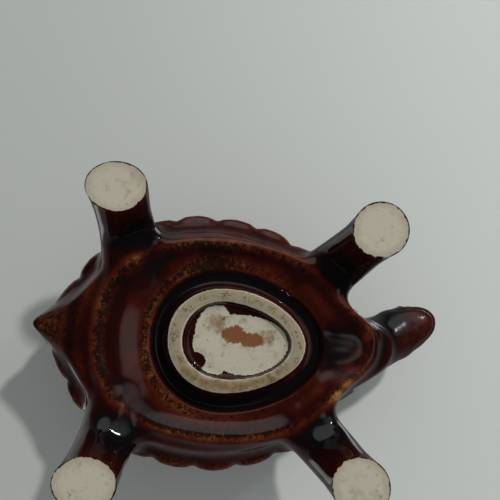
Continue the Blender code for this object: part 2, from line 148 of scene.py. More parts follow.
# Hollow on the inner side of each leg's root, where the glaze pools
FRONT_HOLLOW_OUT = 18.1 * MM
FRONT_HOLLOW_AHEAD = 22.4 * MM
REAR_HOLLOW_OUT = 23.9 * MM
REAR_HOLLOW_BEHIND = 26.0 * MM
HOLLOW_SHARE = 0.67
HOLLOW_DEPTH = 1.2 * MM
HOLLOW_RADIUS = 3.4 * MM

# Throat, chest and tail
THROAT_REACH = 6.9 * MM
THROAT_HALF_WIDTH = 8.2 * MM
THROAT_LIFT = 2.6 * MM
THROAT_ASIDE = -1.6 * MM
CHEST_REACH = 11.0 * MM
TAIL_REACH = 6.2 * MM
TAIL_HALF_WIDTH = 5.6 * MM
TAIL_ASIDE = -0.5 * MM

# Neck and head
HEAD_AHEAD = 40.6 * MM
HEAD_ASIDE = 6.1 * MM
HEAD_TURN = math.radians(29.0)
SNOUT_LENGTH = 11.4 * MM
NAPE_LENGTH = 9.0 * MM
HEAD_HALF_WIDTH = 6.9 * MM
HEAD_HALF_DEPTH = 6.6 * MM
SNOUT_TAPER = 0.5
SNOUT_BLUNTNESS = 2.5
JAW_FLATNESS = 0.82
NECK_RADIUS = 7.0 * MM
EYE_RADIUS = 1.9 * MM
MOUTH_DEPTH = 0.6 * MM

# Relief of the scutes
MARGINAL_SCUTES = 22
MARGINAL_BOSS = 0.6 * MM
SCUTE_BOSS = 1.3 * MM
GROOVE_DEPTH = 0.8 * MM
GROOVE_WIDTH = 2.2 * MM
JOINT_DEPTH = 0.4 * MM
SCUTE_PITCH = 0.39
GROWTH_RING_PITCH = 1.5 * MM
GROWTH_RING_DEPTH = 0.09 * MM
WAVER_DEPTH = 0.12 * MM

# Fillets and the grid
FILLET = 2.6 * MM
CUTTING_ALLOWANCE = 0.4 * MM
CREASE_ANGLE = math.radians(50.0)
COARSE_VOXEL = 0.7 * MM
FINE_VOXEL = 0.49 * MM
OVAL_STEPS = 160

# A point lies on the ground when it is lower than this, in millimetres
ON_GROUND = 1e-4

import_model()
CAD_BOX = [list(corner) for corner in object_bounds()]


class Nose(NamedTuple):
    """A soft bump on an oval's front or rear end."""

    reach: float = 0.0
    half_width: float = 1.0
    lift: float = 0.0
    aside: float = 0.0
    power: float = 3.0


class Oval(NamedTuple):
    """A level superellipse with a front and a rear half of its own."""

    half_width: float
    front: float
    rear: float
    shift: float
    fullness: float = 2.0
    taper: float = 0.0
    aside: float = 0.0

    def grown(self, distance):
        return self._replace(
            half_width=self.half_width + distance,
            front=self.front + distance,
            rear=self.rear + distance,
        )

    def scaled(self, share):
        return self._replace(
            half_width=self.half_width * share,
            front=self.front * share,
            rear=self.rear * share,
        )

    def points(self, height, throat=Nose(), tail=Nose()):
        outline = []
        for step in range(OVAL_STEPS):
            angle = math.tau * step / OVAL_STEPS
            across, along = math.cos(angle), math.sin(angle)
            length, nose = (self.front, throat) if along < 0 else (self.rear, tail)
            x = math.copysign(abs(across) ** (2 / self.fullness), across) * self.half_width
            x *= 1 + self.taper * along
            y = math.copysign(abs(along) ** (2 / self.fullness), along) * length
            weight = math.exp(-(abs(x / nose.half_width) ** nose.power))
            y += math.copysign(nose.reach * weight, along)
            x += self.aside + nose.aside * weight
            outline.append((x, y + self.shift, height + nose.lift * weight))
        return outline

    def outside(self, points):
        """How far points lie outside the oval in plan, about right near its line."""
        x = points[:, 0] - self.aside
        y = points[:, 1] - self.shift
        length = np.where(y < 0, self.front, self.rear)
        along = np.clip(y / length, -1, 1)
        width = self.half_width * (1 + self.taper * along)
        power = self.fullness
        share = (np.abs(x / width) ** power + np.abs(y / length) ** power) ** (1 / power)
        return np.hypot(x, y) * (1 - 1 / np.maximum(share, 1e-3))


SHELL = Oval(SHELL_HALF_WIDTH, SHELL_FRONT, SHELL_REAR, SHELL_SHIFT, SHELL_FULLNESS)
BELLY = Oval(BELLY_HALF_WIDTH, BELLY_FRONT, BELLY_REAR, BELLY_SHIFT, BELLY_FULLNESS, 0.0, BELLY_ASIDE)
RING = Oval(RING_HALF_WIDTH, RING_FRONT, RING_REAR, RING_SHIFT, 2.0, RING_TAPER, RING_ASIDE)
RING_FOOT = Oval(
    RING_HALF_WIDTH + RING_DRAFT,
    RING_FRONT + RING_DRAFT_AHEAD,
    RING_REAR + RING_DRAFT_BEHIND,
    RING_SHIFT,
    2.0,
    RING_TAPER,
    RING_ASIDE,
)
THROAT = Nose(THROAT_REACH, THROAT_HALF_WIDTH, THROAT_LIFT, THROAT_ASIDE)
RING_FACE = BELLY_CLEARANCE - RING_STAND


def new_object(name, mesh):
    made = bpy.data.objects.new(name, mesh)
    bpy.context.scene.collection.objects.link(made)
    return made


def loft(name, sections):
    """A closed solid through outlines, listed from the lowest cap to the highest."""
    build = bmesh.new()
    rings = [[build.verts.new(point) for point in section] for section in sections]
    for lower, upper in zip(rings, rings[1:]):
        for step in range(OVAL_STEPS):
            after = (step + 1) % OVAL_STEPS
            build.faces.new((lower[step], lower[after], upper[after], upper[step]))
    build.faces.new(rings[0][::-1])
    build.faces.new(rings[-1])
    bmesh.ops.recalc_face_normals(build, faces=build.faces)
    mesh = bpy.data.meshes.new(name)
    build.to_mesh(mesh)
    build.free()
    return new_object(name, mesh)


def as_mesh(source):
    """Turns an object with its modifiers into a plain mesh object in world space."""
    graph = bpy.context.evaluated_depsgraph_get()
    mesh = bpy.data.meshes.new_from_object(source.evaluated_get(graph))
    mesh.transform(source.matrix_world)
    made = new_object(source.name + "_mesh", mesh)
    bpy.data.objects.remove(source)
    return made


def tube(name, stops, flatten=(1, 1, 1)):
    """A tapered tube along a smooth curve. A stop is a point and the radius there."""
    curve = bpy.data.curves.new(name, "CURVE")
    curve.dimensions = "3D"
    curve.bevel_depth = MM
    curve.bevel_resolution = 12
    curve.resolution_u = 16
    curve.use_fill_caps = True
    spline = curve.splines.new("BEZIER")
    spline.bezier_points.add(len(stops) - 1)
    middle = stops[0][0]
    for knot, (point, radius) in zip(spline.bezier_points, stops):
        knot.co = [(p - m) / f for p, m, f in zip(point, middle, flatten)]
        knot.handle_left_type = knot.handle_right_type = "AUTO"
        knot.radius = radius / MM
    made = new_object(name, curve)
    made.location = middle
    made.scale = flatten
    bpy.context.view_layer.update()
    solid = as_mesh(made)
    build = bmesh.new()
    build.from_mesh(solid.data)
    bmesh.ops.remove_doubles(build, verts=build.verts, dist=0.01 * MM)
    build.to_mesh(solid.data)
    build.free()
    return solid


def ball(name, centre, radius):
    bpy.ops.mesh.primitive_uv_sphere_add(segments=64, ring_count=48, radius=radius, location=centre)
    made = bpy.context.active_object
    made.name = name
    bpy.context.view_layer.update()
    return as_mesh(made)


def body():
    """The belly plate, the side wall, the margin and the dome, as one loft."""
    wall = SHELL.grown(-SIDE_WALL_INSET)
    wall = wall._replace(front=BELLY_FRONT - BELLY_SHIFT + BREAST_STEP + SHELL_SHIFT)
    low_chest = Nose(0.60 * CHEST_REACH, THROAT_HALF_WIDTH, 0.7 * THROAT_LIFT, THROAT_ASIDE)
    chest = Nose(0.90 * CHEST_REACH, 1.06 * THROAT_HALF_WIDTH, 0.3 * THROAT_LIFT, THROAT_ASIDE)
    high_chest = Nose(CHEST_REACH, 1.06 * THROAT_HALF_WIDTH, 0.0, THROAT_ASIDE)
    throat_bed = THROAT._replace(half_width=0.7 * THROAT_HALF_WIDTH)
    throat_slope = THROAT._replace(half_width=0.85 * THROAT_HALF_WIDTH)
    tail = Nose(TAIL_REACH, TAIL_HALF_WIDTH, 0.0, TAIL_ASIDE, 1.5)
    tail_root = tail._replace(reach=0.2 * TAIL_REACH)
    tail_low = tail._replace(reach=0.9 * TAIL_REACH)
    tail_tip = tail._replace(reach=1.7 * TAIL_REACH)
    tail_top = tail._replace(reach=1.2 * TAIL_REACH)
    bank = RING.grown(DITCH_WIDTH)
    bed = bank.grown(0.9 * CREST_WIDTH)
    slope = bank.grown(4.0 * CREST_WIDTH)
    slope = slope._replace(fullness=2.2, front=min(slope.front, BELLY_FRONT - BELLY_SHIFT - 3 * CREST_WIDTH))
    sections = [
        bank.points(BELLY_CLEARANCE + SHOULDER_DEPTH),
        bed.points(BELLY_CLEARANCE + 0.97 * DISH_DEPTH, throat_bed._replace(reach=0.35 * THROAT_REACH)),
        slope.points(BELLY_CLEARANCE + 0.30 * DISH_DEPTH, throat_bed),
        BELLY.grown(-1.7 * CREST_WIDTH).points(BELLY_CLEARANCE + 0.22 * DISH_DEPTH, throat_slope),
        BELLY.grown(-CREST_WIDTH).points(BELLY_CLEARANCE, THROAT),
        BELLY.points(BELLY_CLEARANCE, THROAT),
        BELLY.grown(CREST_WIDTH / 4).points(BELLY_CLEARANCE + 0.15 * MARGIN_RISE, low_chest, tail_root),
        wall.points(BELLY_CLEARANCE + 0.38 * MARGIN_RISE, low_chest, tail_low),
        wall.grown(SIDE_WALL_FLARE).points(BELLY_CLEARANCE + 0.62 * MARGIN_RISE, chest, tail_tip),
        SHELL.grown(-MARGIN_LIP).points(MARGIN_HEIGHT - MARGIN_LIP, high_chest, tail_top),
        SHELL.points(MARGIN_HEIGHT, high_chest, tail),
    ]
    for share in (0.3, 0.6, 0.85):
        sections.append(
            SHELL.scaled(1 - (1 - DOME_SHARE) * share**2).points(
                MARGIN_HEIGHT + BRIM_HEIGHT * share,
                high_chest._replace(reach=(1 - share) * high_chest.reach),
                tail._replace(reach=(1 - share) * TAIL_REACH),
            )
        )
    for angle in np.linspace(0.06, 0.985, 16) * math.pi / 2:
        share = math.cos(angle)
        rise = DOME_HEIGHT * (1 - share**DOME_FULLNESS) ** DOME_STEEPNESS
        sections.append(SHELL.scaled(DOME_SHARE * share).points(MARGIN_HEIGHT + BRIM_HEIGHT + rise))
    return loft("body", sections)


def ring_blank():
    """Clay enough under the belly for the foot ring to be cut from."""
    blank = RING.grown(CUTTING_ALLOWANCE)
    top = BELLY_CLEARANCE + SHOULDER_DEPTH + RING_BAND
    return loft("ring_blank", [blank.points(RING_FACE - CUTTING_ALLOWANCE), blank.points(top)])


def leg(name, side, out, behind, splay, bulk, ovalness):
    """One leg, from a hip inside the shell over the elbow down and out through the ground."""
    behind *= 1 - side * FOOT_SKEW

    def inward(reach, height):
        x = side * (out - reach * math.sin(splay))
        return (x, behind - math.copysign(reach * math.cos(splay), behind), height)

    stops = [
        (inward(HIP_REACH, BELLY_CLEARANCE + HIP_RISE), bulk * HIP_RADIUS),
        (inward(ELBOW_REACH, BELLY_CLEARANCE + ELBOW_RISE), bulk * ELBOW_RADIUS),
        (inward(KNEE_REACH, KNEE_SHARE * BELLY_CLEARANCE), bulk * KNEE_RADIUS),
        (inward(0.2 * KNEE_REACH, 0.3 * KNEE_SHARE * BELLY_CLEARANCE), bulk * ANKLE_RADIUS),
        (inward(0.0, 0.0), bulk * FOOT_RADIUS),
        (inward(0.0, -FOOT_RADIUS / 2), bulk * FOOT_RADIUS),
    ]
    return tube(name, stops, (ovalness, 1, 1))


def legs():
    made = []
    for side, word in ((-1, "right"), (1, "left")):
        front = (FRONT_FOOT_OUT, -FRONT_FOOT_AHEAD, FRONT_LEG_SPLAY, 1.0, 1.0)
        rear = (REAR_FOOT_OUT, REAR_FOOT_BEHIND, REAR_LEG_SPLAY, REAR_LEG_BULK, REAR_LEG_OVALNESS)
        made.append(leg(f"front_{word}_leg", side, *front))
        made.append(leg(f"rear_{word}_leg", side, *rear))
    return made


def head_place(forward, sideways, up):
    """A point from head coordinates, forward being along the snout, to the world."""
    c, s = math.cos(HEAD_TURN), math.sin(HEAD_TURN)
    x = -HEAD_ASIDE - forward * s + sideways * c
    y = -HEAD_AHEAD - forward * c - sideways * s
    return (x, y, HEAD_HEIGHT + up)


def neck():
    """From inside the shell up to the skull."""
    return tube(
        "neck",
        [
            ((0, -0.35 * HEAD_AHEAD, MARGIN_HEIGHT), 1.1 * NECK_RADIUS),
            ((-0.15 * HEAD_ASIDE, -0.67 * HEAD_AHEAD, MARGIN_HEIGHT), 1.05 * NECK_RADIUS),
            (head_place(-0.6 * NAPE_LENGTH, 0, -0.15 * HEAD_HALF_DEPTH), NECK_RADIUS),
            (head_place(0.1 * SNOUT_LENGTH, 0, -0.1 * HEAD_HALF_DEPTH), 0.8 * NECK_RADIUS),
        ],
    )


def skull():
    """An egg whose long end is the snout, blunt in profile and flat under the jaw."""
    made = ball("skull", (0, 0, 0), 1.0)
    for vertex in made.data.vertices:
        side, fore, up = vertex.co
        length = SNOUT_LENGTH if fore > 0 else NAPE_LENGTH
        ahead = min(max(fore, 0.0), 0.995)
        slim = 1.0 - SNOUT_TAPER * ahead * (1 - ahead)
        blunt = (1 - ahead**SNOUT_BLUNTNESS) ** (1 / SNOUT_BLUNTNESS) / math.sqrt(1 - ahead**2)
        depth = HEAD_HALF_DEPTH * (JAW_FLATNESS if up < 0 else 1.0)
        vertex.co = head_place(fore * length, side * slim * HEAD_HALF_WIDTH, up * blunt * depth)
    build = bmesh.new()
    build.from_mesh(made.data)
    bmesh.ops.recalc_face_normals(build, faces=build.faces)
    build.to_mesh(made.data)
    build.free()
    return made


def eye_middles():
    return [
        head_place(0.40 * SNOUT_LENGTH, side * 0.62 * HEAD_HALF_WIDTH, 0.48 * HEAD_HALF_DEPTH)
        for side in (-1, 1)
    ]


def join(parts, name):
    """Puts several closed solids into one mesh."""
    build = bmesh.new()
    for part in parts:
        build.from_mesh(part.data)
        bpy.data.objects.remove(part)
    mesh = bpy.data.meshes.new(name)
    build.to_mesh(mesh)
    build.free()
    return new_object(name, mesh)


def remeshed(target, voxel):
    grid = target.modifiers.new("voxels", "REMESH")
    grid.mode = "VOXEL"
    grid.voxel_size = voxel
    return as_mesh(target)


def offset(target, distance):
    push = target.modifiers.new("offset", "DISPLACE")
    push.mid_level = 0.0
    push.strength = distance
    return as_mesh(target)


def smoothed(target, rounds):
    relax = target.modifiers.new("relax", "SMOOTH")
    relax.factor = 0.5
    relax.iterations = rounds
    return as_mesh(target)


def flow_together(solid):
    """Closes the creases: the skin swells by the fillet radius and shrinks back again."""
    solid = smoothed(remeshed(solid, COARSE_VOXEL), 2)
    solid = smoothed(remeshed(offset(solid, FILLET), COARSE_VOXEL), 3)
    return smoothed(remeshed(offset(solid, -FILLET), FINE_VOXEL), 4)


def belly_cutter():
    """The ditch round the foot ring, the ring's level face and the recess inside it."""
    shoulder = BELLY_CLEARANCE + SHOULDER_DEPTH
    bed = BELLY_CLEARANCE + DITCH_DEPTH
    inside = RING.grown(-RING_BAND)
    bank = RING.grown(DITCH_WIDTH)
    return loft(
        "belly_cutter",
        [
            bank.points(RING_FACE - 2 * RING_STAND),
            bank.points(shoulder),
            RING.grown(0.92 * DITCH_WIDTH).points(shoulder + 0.35 * (bed - shoulder)),
            RING.grown(0.78 * DITCH_WIDTH).points(shoulder + 0.85 * (bed - shoulder)),
            RING.grown(0.66 * DITCH_WIDTH).points(bed),
            RING_FOOT.points(bed - 0.1 * (bed - shoulder)),
            RING.points(RING_FACE),
            inside.points(RING_FACE),
            inside.grown(-RECESS_DRAFT / 3).points(RING_FACE + 0.8 * RECESS_DEPTH),
            inside.grown(-RECESS_DRAFT).points(RING_FACE + RECESS_DEPTH),
        ],
    )


def cut(target, cutter):
    knife = target.modifiers.new("cut", "BOOLEAN")
    knife.operation = "DIFFERENCE"
    knife.object = cutter
    result = as_mesh(target)
    bpy.data.objects.remove(cutter)
    return result


def scute_seeds():
    """Middles of the large scutes on the unrolled shell: five down the back, four each side."""
    back = [(0.0, (k - 2) * SCUTE_PITCH) for k in range(5)]
    sides = [(side * 1.5 * SCUTE_PITCH, (k - 1.5) * SCUTE_PITCH) for side in (-1, 1) for k in range(4)]
    return np.array(back + sides)


def shell_relief(points):
    """How far each point of the dome moves out along its normal, for scutes and grooves."""
    across = points[:, 0] / SHELL_HALF_WIDTH
    behind = points[:, 1] - SHELL_SHIFT
    along = behind / np.where(behind < 0, SHELL_FRONT, SHELL_REAR)
    spread = (np.abs(across) ** SHELL_FULLNESS + np.abs(along) ** SHELL_FULLNESS) ** (1 / SHELL_FULLNESS)
    on_dome = spread < DOME_SHARE
    unrolled = 2 / math.pi * np.arcsin(np.clip(spread / DOME_SHARE, 0, 1))
    stretch = unrolled / np.maximum(spread, 1e-6)
    place = np.stack([across * stretch, along * stretch], axis=1)

    distances = np.linalg.norm(place[:, None, :] - scute_seeds()[None], axis=2)
    distances.sort(axis=1)
    meridian = (DOME_SHARE * (SHELL_HALF_WIDTH + SHELL_FRONT) / 2 + DOME_HEIGHT) * math.pi / 4
    to_groove = (distances[:, 1] - distances[:, 0]) / 2 * meridian
    to_foot = np.abs(spread - DOME_SHARE) * SHELL_HALF_WIDTH * 1.4
    to_foot = np.where(on_dome, (1 - unrolled) * meridian, to_foot)
    turn = (np.arctan2(along, across) / math.tau * MARGINAL_SCUTES) % 1.0
    to_joint = np.minimum(turn, 1 - turn) * math.tau / MARGINAL_SCUTES * SHELL_HALF_WIDTH

    half_groove = GROOVE_WIDTH / 2
    to_edge = np.where(on_dome, np.minimum(to_groove, to_foot), to_foot)
    groove = -GROOVE_DEPTH * np.exp(-((to_edge / half_groove) ** 2))
    clear = 1 - np.exp(-((to_foot / GROOVE_WIDTH) ** 2))
    plate = SCUTE_BOSS * np.clip(1 - (distances[:, 0] / (1.05 * SCUTE_PITCH)) ** 2, 0, 1)
    rings = GROWTH_RING_DEPTH * np.cos(math.tau * to_edge / GROWTH_RING_PITCH)
    rings *= np.exp(-((to_edge / (4 * GROWTH_RING_PITCH)) ** 2)) * np.clip(to_edge / GROOVE_WIDTH, 0, 1)
    joint = -JOINT_DEPTH * np.exp(-((to_joint / half_groove) ** 2))
    bead = MARGINAL_BOSS * np.sin(math.pi * turn) + joint
    lift = np.where(on_dome, plate + rings, bead) * clear + groove
    above = np.clip((points[:, 2] - (MARGIN_HEIGHT - MARGIN_LIP)) / MARGIN_LIP, 0, 1)
    return lift * above * (spread < 1.06)


def head_relief(points):
    """The line where the jaws meet, a lid round each eye and the two nostrils."""
    c, s = math.cos(HEAD_TURN), math.sin(HEAD_TURN)
    x = points[:, 0] + HEAD_ASIDE
    y = -points[:, 1] - HEAD_AHEAD
    forward = y * c - x * s
    up = points[:, 2] - HEAD_HEIGHT
    line = -0.22 * HEAD_HALF_DEPTH - 0.16 * HEAD_HALF_DEPTH * (forward / SNOUT_LENGTH) ** 2
    near = np.exp(-(((up - line) / (0.08 * HEAD_HALF_DEPTH)) ** 2))
    in_front = np.clip((forward - 0.15 * SNOUT_LENGTH) / (0.15 * SNOUT_LENGTH), 0, 1)
    lift = -MOUTH_DEPTH * near * in_front
    for middle in eye_middles():
        away = np.linalg.norm(points - np.array(middle), axis=1)
        lift -= 0.35 * MM * np.exp(-(((away - 1.12 * EYE_RADIUS) / (0.35 * MM)) ** 2))
        lift += 0.25 * MM * np.exp(-(((away - 1.55 * EYE_RADIUS) / (0.5 * MM)) ** 2))
    for side in (-1, 1):
        nostril = head_place(0.93 * SNOUT_LENGTH, side * 0.16 * HEAD_HALF_WIDTH, 0.22 * HEAD_HALF_DEPTH)
        away = np.linalg.norm(points - np.array(nostril), axis=1)
        lift -= 0.4 * MM * np.exp(-((away / (0.6 * MM)) ** 2))
    return lift


def hollow_middles():
    """Where the four hollows beside the legs' roots lie."""
    rows = ((FRONT_HOLLOW_OUT, -FRONT_HOLLOW_AHEAD), (REAR_HOLLOW_OUT, REAR_HOLLOW_BEHIND))
    return [(side * out, behind, HOLLOW_SHARE * BELLY_CLEARANCE) for out, behind in rows for side in (-1, 1)]


def hollow_relief(points):
    """How far the hollows are pressed into the skin."""
    lift = np.zeros(len(points))
    for middle in hollow_middles():
        away = np.linalg.norm(points - np.array(middle), axis=1)
        lift -= HOLLOW_DEPTH * np.exp(-((away / HOLLOW_RADIUS) ** 2))
    return lift


def waver(points):
    """The small unevenness of a piece that was cast, sponged and glazed by hand."""
    x, y, z = (points / (7.0 * MM)).T
    wave = np.sin(1.1 * x + 0.7 * y + 0.4) * np.sin(0.9 * y - 1.3 * z + 1.7)
    wave += 0.6 * np.sin(1.9 * x - 1.4 * z + 2.2) * np.sin(2.3 * y + 0.8 * x)
    return WAVER_DEPTH * wave


def read_points(mesh):
    values = np.empty(len(mesh.vertices) * 3)
    mesh.vertices.foreach_get("co", values)
    return values.reshape(-1, 3)


def read_normals(mesh):
    values = np.empty(len(mesh.vertices) * 3)
    mesh.vertex_normals.foreach_get("vector", values)
    return values.reshape(-1, 3)


def engrave(target):
    """Moves the skin along its normals for the scutes, the face and the unevenness."""
    points = read_points(target.data)
    lift = shell_relief(points) + head_relief(points) + hollow_relief(points) + waver(points)
    points += read_normals(target.data) * lift[:, None]
    target.data.vertices.foreach_set("co", points.ravel())
    target.data.update()
    return target


def stand_on_ground(target):
    """Grinds the feet flat at Z = 0 and gives each sole a middle point."""
    build = bmesh.new()
    build.from_mesh(target.data)
    everything = build.verts[:] + build.edges[:] + build.faces[:]
    bmesh.ops.bisect_plane(build, geom=everything, plane_co=(0, 0, 0), plane_no=(0, 0, -1), clear_outer=True)
    soles = bmesh.ops.holes_fill(build, edges=[edge for edge in build.edges if edge.is_boundary])["faces"]
    bmesh.ops.poke(build, faces=soles)
    bmesh.ops.recalc_face_normals(build, faces=build.faces)
    build.to_mesh(target.data)
    build.free()
    return target


def settled(points, pairs, rounds):
    """The points after so many rounds of averaging with their neighbours."""
    a, b = pairs.T
    count = np.bincount(a, minlength=len(points)) + np.bincount(b, minlength=len(points))
    moved = points.copy()
    for _ in range(rounds):
        for axis in range(3):
            column = moved[:, axis]
            near = np.bincount(a, column[b], len(points)) + np.bincount(b, column[a], len(points))
            moved[:, axis] = 0.5 * column + 0.5 * near / np.maximum(count, 1)
    return moved


def spot(points, x, y, radius, z=None):
    """1 in the middle of a round spot and 0 well outside it, the sizes in millimetres."""
    away = ((points[:, 0] / MM - x) ** 2 + (points[:, 1] / MM - y) ** 2) / radius**2
    if z is not None:
        away = away + ((points[:, 2] / MM - z) / radius) ** 2
    return np.exp(-away)


def inside_oval(points, x, y, half_x, half_y):
    """About how many millimetres a point lies inside an upright oval in plan."""
    share = np.hypot((points[:, 0] / MM - x) / half_x, (points[:, 1] / MM - y) / half_y)
    return (1 - share) * min(half_x, half_y)


def soft_step(values, low, high):
    share = np.clip((values - low) / (high - low), 0, 1)
    return share * share * (3 - 2 * share)


def hump(values, middle, half_width):
    """1 in the middle of a range and 0 well away from it."""
    return np.exp(-(((values - middle) / half_width) ** 2))


def patches(points, rows):
    """Soft spots added up. A row is a spot's place in plan, its radius and its strength."""
    return sum(strength * spot(points, x, y, radius) for x, y, radius, strength in rows)


# Places where the glaze or the clay differs, in millimetres in plan, with the strength last
BELLY_PATCHES = [(-15.1, 22.6, 5.5, 0.30), (-1.6, -23.0, 5.0, 0.45), (-18.8, 25.7, 3.0, -0.32)]
LEG_ROOT_PATCHES = [(22.5, 34.7, 3.0, -0.22), (22.2, -34.0, 3.0, -0.22)]
# The collar patch darkens the glaze, partly as painted shade under the neck
COLLAR_GLAZE_AND_SHADE_PATCH = [(-11.2, -37.0, 5.0, 0.22)]
GRAINY_PATCH = [(-18.3, 8.5, 5.0, 0.6)]
DULL_PATCH = [(0.0, -24.0, 6.0, 0.9)]
OCHRE_PATCHES = [(-4.4, 5.9, 2.6, 0.9), (-1.8, -7.0, 2.8, 0.7), (-1.8, -0.4, 4.6, 0.5)]
# A paler streak of thin amber glaze down the throat's lip, partly a painted highlight
THROAT_AMBER_AND_HIGHLIGHT_STREAK = [(-4.0 + 3.6 * k, -30.7 + 1.5 * k, 1.7) for k in range(5)]
THROAT_AMBER_AND_HIGHLIGHT_STRENGTH = 0.34

# Ovals on the recess floor: the middle and the half widths in millimetres
WIPED_OVALS = [(-0.2, 5.7, 8.7, 5.0), (0.3, -1.5, 7.2, 10.8)]
GLAZE_DROP = (5.0, 9.3, 1.9, 1.9)
STAIN_OVALS = [(-1.9, 1.1, 2.5, 2.9), (-1.1, -3.2, 1.8, 3.6)]

# Values for points that lie nowhere near a wiped place
FAR_FROM_BARE = -9.0
FAR_FROM_STAIN = -2.0

POOL_RADIUS = 5.2
POOL_LIFT = 1.5
SETTLED_FINE = 16
SETTLED_BROAD = 140


class Zones:
    """Where the skin's points lie, in millimetres from the lines that the glaze follows.

    side and behind are the place in plan and rise is the height. crest, bank and ring are how
    far a point lies outside the crest, the ditch's outer bank and the foot ring. under is 1 on
    the belly. to_left and to_tail are 1 on those sides of it and 0 across from them.
    """

    def __init__(self, points, normals):
        self.points = points
        self.side, self.behind, self.rise = points.T / MM
        self.under = soft_step(-normals[:, 2], 0.1, 0.4) * (self.rise < BELLY_CLEARANCE / MM + 5)
        self.bank = RING.grown(DITCH_WIDTH).outside(points) / MM
        self.ring = RING.outside(points) / MM
        self.near_ring = self.bank < 0
        drawn_back = points.copy()
        weight = np.exp(-(np.abs((points[:, 0] - THROAT_ASIDE) / THROAT_HALF_WIDTH) ** 3))
        drawn_back[:, 1] += np.where(points[:, 1] < 0, THROAT_REACH * weight, 0.0)
        self.crest = BELLY.grown(-CREST_WIDTH / 2).outside(drawn_back) / MM
        turn = np.arctan2(self.side, self.behind - 2)
        self.to_tail = 0.5 + 0.5 * np.cos(turn + 0.45)
        self.to_left = 0.5 + 0.5 * np.cos(turn - 0.4)
        self.in_crest = hump(self.crest, -1.2, 1.45) * self.under
        self.shoulder = hump(self.bank, 1.3, 1.4) * self.under
        height = soft_step(self.rise, 10.0, 13.0) * soft_step(-self.rise, -25.0, -21.0)
        self.rim = soft_step(self.crest, 2.5, 5.0) * height

    def pools(self):
        """1 in the glaze pools of the hollows beside the legs' roots."""
        return sum(
            spot(self.points, x / MM, y / MM, POOL_RADIUS, z / MM + POOL_LIFT) for x, y, z in hollow_middles()
        )


def glaze_film_and_painted_light(zone, bulge, hollow):
    """How thick the glaze lies: 0 where it is thin and amber, 1 where it pools black. It also holds painted
    shade at the collar and a painted highlight on the throat.
    """
    under, points = zone.under, zone.points
    ditch = soft_step(-zone.bank, -0.3, 1.2) * soft_step(zone.ring, 0.9, 2.3) * under
    ring_wall = soft_step(zone.ring, -0.2, 0.1) * soft_step(-zone.ring, -2.2, -1.3) * under
    limb = soft_step(zone.crest, 0.8, 2.2) * soft_step(-zone.rise, -15.0, -11.0)
    film_and_painted_light = 0.50 + 0.18 * np.clip(hollow, -0.6, 1.0) - 0.30 * np.clip(bulge, -0.3, 0.35)
    film_and_painted_light = np.where(ring_wall > 0.5, 0.46 + 0.22 * zone.to_left, film_and_painted_light)
    film_and_painted_light = np.where(zone.ring < -0.5, 0.55, film_and_painted_light)
    film_and_painted_light += 0.37 * ditch * (1 - ring_wall) + 0.20 * limb
    film_and_painted_light -= zone.in_crest * (0.01 + 0.12 * zone.to_left) + 0.03 * hump(zone.crest, 0.3, 1.0) * under
    film_and_painted_light -= zone.shoulder * (0.01 + 0.26 * zone.to_tail)

    # Rings of darker and paler glaze in the dish between the bank and the crest
    across = np.clip(zone.bank / np.maximum(zone.bank - zone.crest, 0.5), 0, 1)
    dish = under * soft_step(zone.bank, 0.0, 1.0) * soft_step(-zone.crest, 0.0, 1.5)
    film_and_painted_light += dish * (0.05 * (1 - zone.to_left) + 0.14 * hump(across, 0.70, 0.16))
    film_and_painted_light -= dish * 0.10 * hump(across, 0.36, 0.20)

    # Darker glaze at the collar, partly painted shade where the neck meets the shell, and on the head; then
    # the shell's rear rim and the tail
    film_and_painted_light += 0.26 * soft_step(-zone.behind, 31.0, 34.0) * soft_step(zone.behind, -43.0, -38.0)
    film_and_painted_light += 0.10 * soft_step(-zone.behind, 38.0, 42.0) + patches(points, COLLAR_GLAZE_AND_SHADE_PATCH) * (zone.crest > 0)
    film_and_painted_light += 0.30 * hump(zone.behind, 40.5, 1.4) + 0.5 * soft_step(zone.behind, 48.6, 50.2)
    film_and_painted_light -= 0.06 * zone.rim

    film_and_painted_light += under * patches(points, BELLY_PATCHES) + patches(points, LEG_ROOT_PATCHES) * (zone.crest > 1)
    film_and_painted_light += 0.55 * zone.pools() * soft_step(zone.crest, -0.5, 1.2)
    # The paler throat streak: amber glaze, partly a painted highlight
    amber_and_highlight_streak = [spot(points, x, y, radius) for x, y, radius in THROAT_AMBER_AND_HIGHLIGHT_STREAK]
    return film_and_painted_light - under * THROAT_AMBER_AND_HIGHLIGHT_STRENGTH * np.max(amber_and_highlight_streak, axis=0)


def glaze_grain(zone):
    """Where the glaze breaks into grains."""
    grain = zone.in_crest * (0.5 + 0.5 * zone.to_left)
    grain += 0.75 * zone.shoulder * (0.3 + 0.7 * zone.to_tail)
    grain += 0.40 * zone.rim + 0.15 * soft_step(zone.behind, 42.0, 44.0)
    grain += zone.under * patches(zone.points, GRAINY_PATCH) - 0.5 * zone.pools()
    return np.clip(grain, 0, 1)


def glaze_dullness(zone):
    """Where the glaze is less glossy: the head, the tail and the throat."""
    ends = soft_step(-zone.behind, 37.0, 41.0) + 0.6 * soft_step(zone.behind, 41.0, 43.0)
    return ends + zone.under * patches(zone.points, DULL_PATCH)


